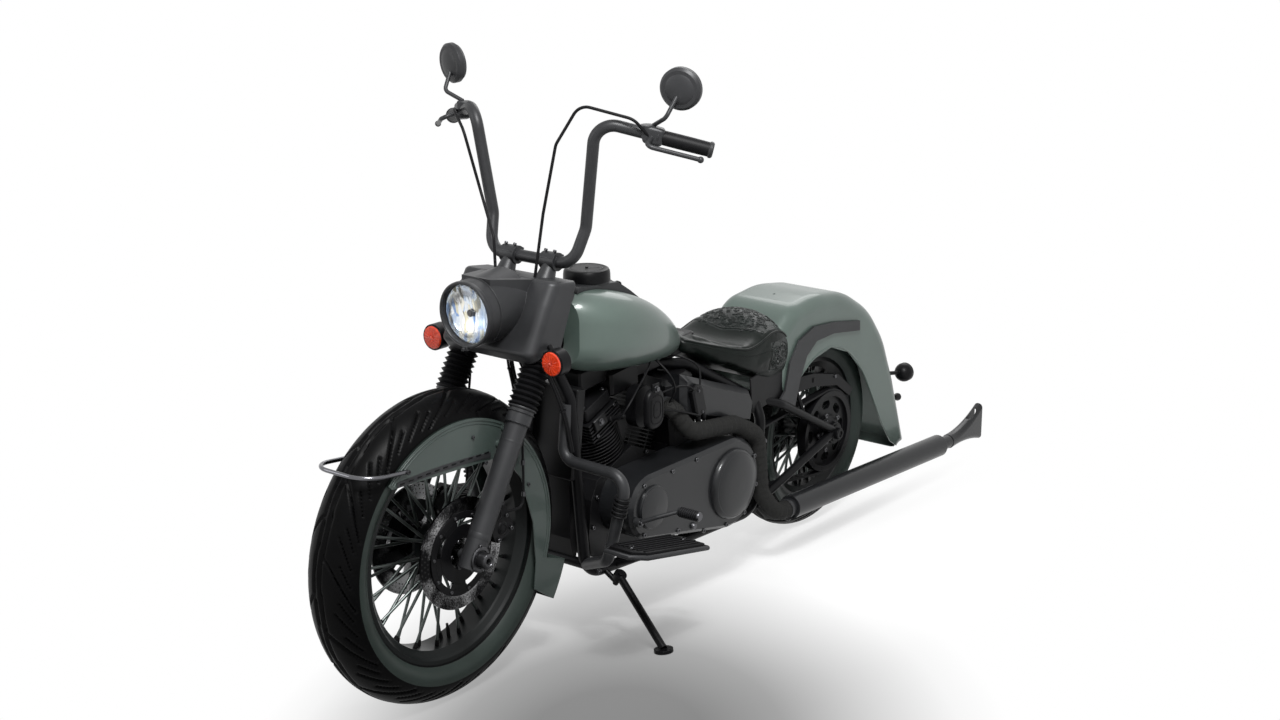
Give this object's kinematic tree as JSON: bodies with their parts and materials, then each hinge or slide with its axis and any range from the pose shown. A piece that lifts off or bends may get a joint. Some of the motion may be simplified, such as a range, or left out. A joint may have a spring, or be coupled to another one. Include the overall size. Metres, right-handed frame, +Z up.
{
  "type": "cruiser motorcycle",
  "caption": "Long low cruiser motorcycle with a tall front wheel, high handlebar, solo seat, twin engine and straight fishtail exhausts, parked on its side stand.",
  "frame": {"origin": "middle of the bounding box on the floor plane z = 0", "axes": "+X forward, +Y towards the bike's left, +Z up; the bike leans 7 degrees to its left on its side stand"},
  "size_m": [2.8452, 0.9867, 1.6342],
  "materials": {
    "green_paint": "gloss green-grey enamel",
    "dark_metal": "satin dark grey",
    "black_metal": "satin black",
    "engine_black": "black painted castings",
    "wheel_paint": "satin grey-green",
    "disc_steel": "drilled brake disc",
    "tyre": "rubber with a green painted sidewall",
    "rubber": "moulded rubber",
    "leather": "tooled dark leather",
    "clear_lens": "clear lens over a bright reflector",
    "orange_lens": "orange lens",
    "wrap": "woven heat wrap"
  },
  "bodies": {
    "frame": {"fuel_tank": "green_paint", "dash": "dark_metal", "seat": "leather", "rear_fender": "green_paint", "fender_struts": "dark_metal", "rear_signals": "dark_metal", "frame": "black_metal", "swingarm": "black_metal", "engine_case": "black_metal", "cylinders": "engine_black", "pushrods": "dark_metal", "primary_cover": "dark_metal", "drive_belt": "rubber", "oil_tank": "dark_metal", "headers": "wrap", "mufflers": "dark_metal", "engine_guard": "black_metal", "footboards": "rubber", "foot_controls": "black_metal", "belt_guard": "dark_metal", "horn_cover": "black_metal", "air_cleaner": "black_metal", "front_box": "black_metal"},
    "steering": {"fork": "dark_metal", "fork_boots": "rubber", "front_calipers": "black_metal", "lamp_housing": "dark_metal", "headlamp_lens": "clear_lens", "front_signals": "dark_metal", "signal_lenses": "orange_lens", "handlebar": "black_metal", "grips": "rubber", "hand_controls": "black_metal", "mirrors": "black_metal", "control_cables": "rubber", "front_fender": "green_paint", "fender_rail": "dark_metal"},
    "front_wheel": {"front_tyre": "tyre", "front_wheel": "wheel_paint", "front_discs": "disc_steel"},
    "rear_wheel": {"rear_tyre": "tyre", "rear_wheel": "wheel_paint", "rear_pulley": "dark_metal", "rear_disc": "disc_steel"},
    "side_stand": {"side_stand": "black_metal"}
  },
  "joints": [
    {"name": "steer", "type": "hinge", "parent": "frame", "child": "steering", "pos_m": [0.64829, -0.01722, 0.91645], "axis": [-0.5, 0.1055, 0.8596], "range_deg": [-30, 30]},
    {"name": "front_wheel_spin", "type": "hinge", "parent": "steering", "child": "front_wheel", "pos_m": [1.01475, -0.07995, 0.40555], "axis": [0, 0.9925, -0.1219], "continuous": true},
    {"name": "rear_wheel_spin", "type": "hinge", "parent": "frame", "child": "rear_wheel", "pos_m": [-0.62025, -0.09067, 0.31821], "axis": [0, 0.9925, -0.1219], "continuous": true},
    {"name": "stand_fold", "type": "hinge", "parent": "frame", "child": "side_stand", "pos_m": [0.45925, 0.04188, 0.16693], "axis": [0.0964, 0.6455, 0.7576], "range_deg": [0, 102.1]}
  ]
}
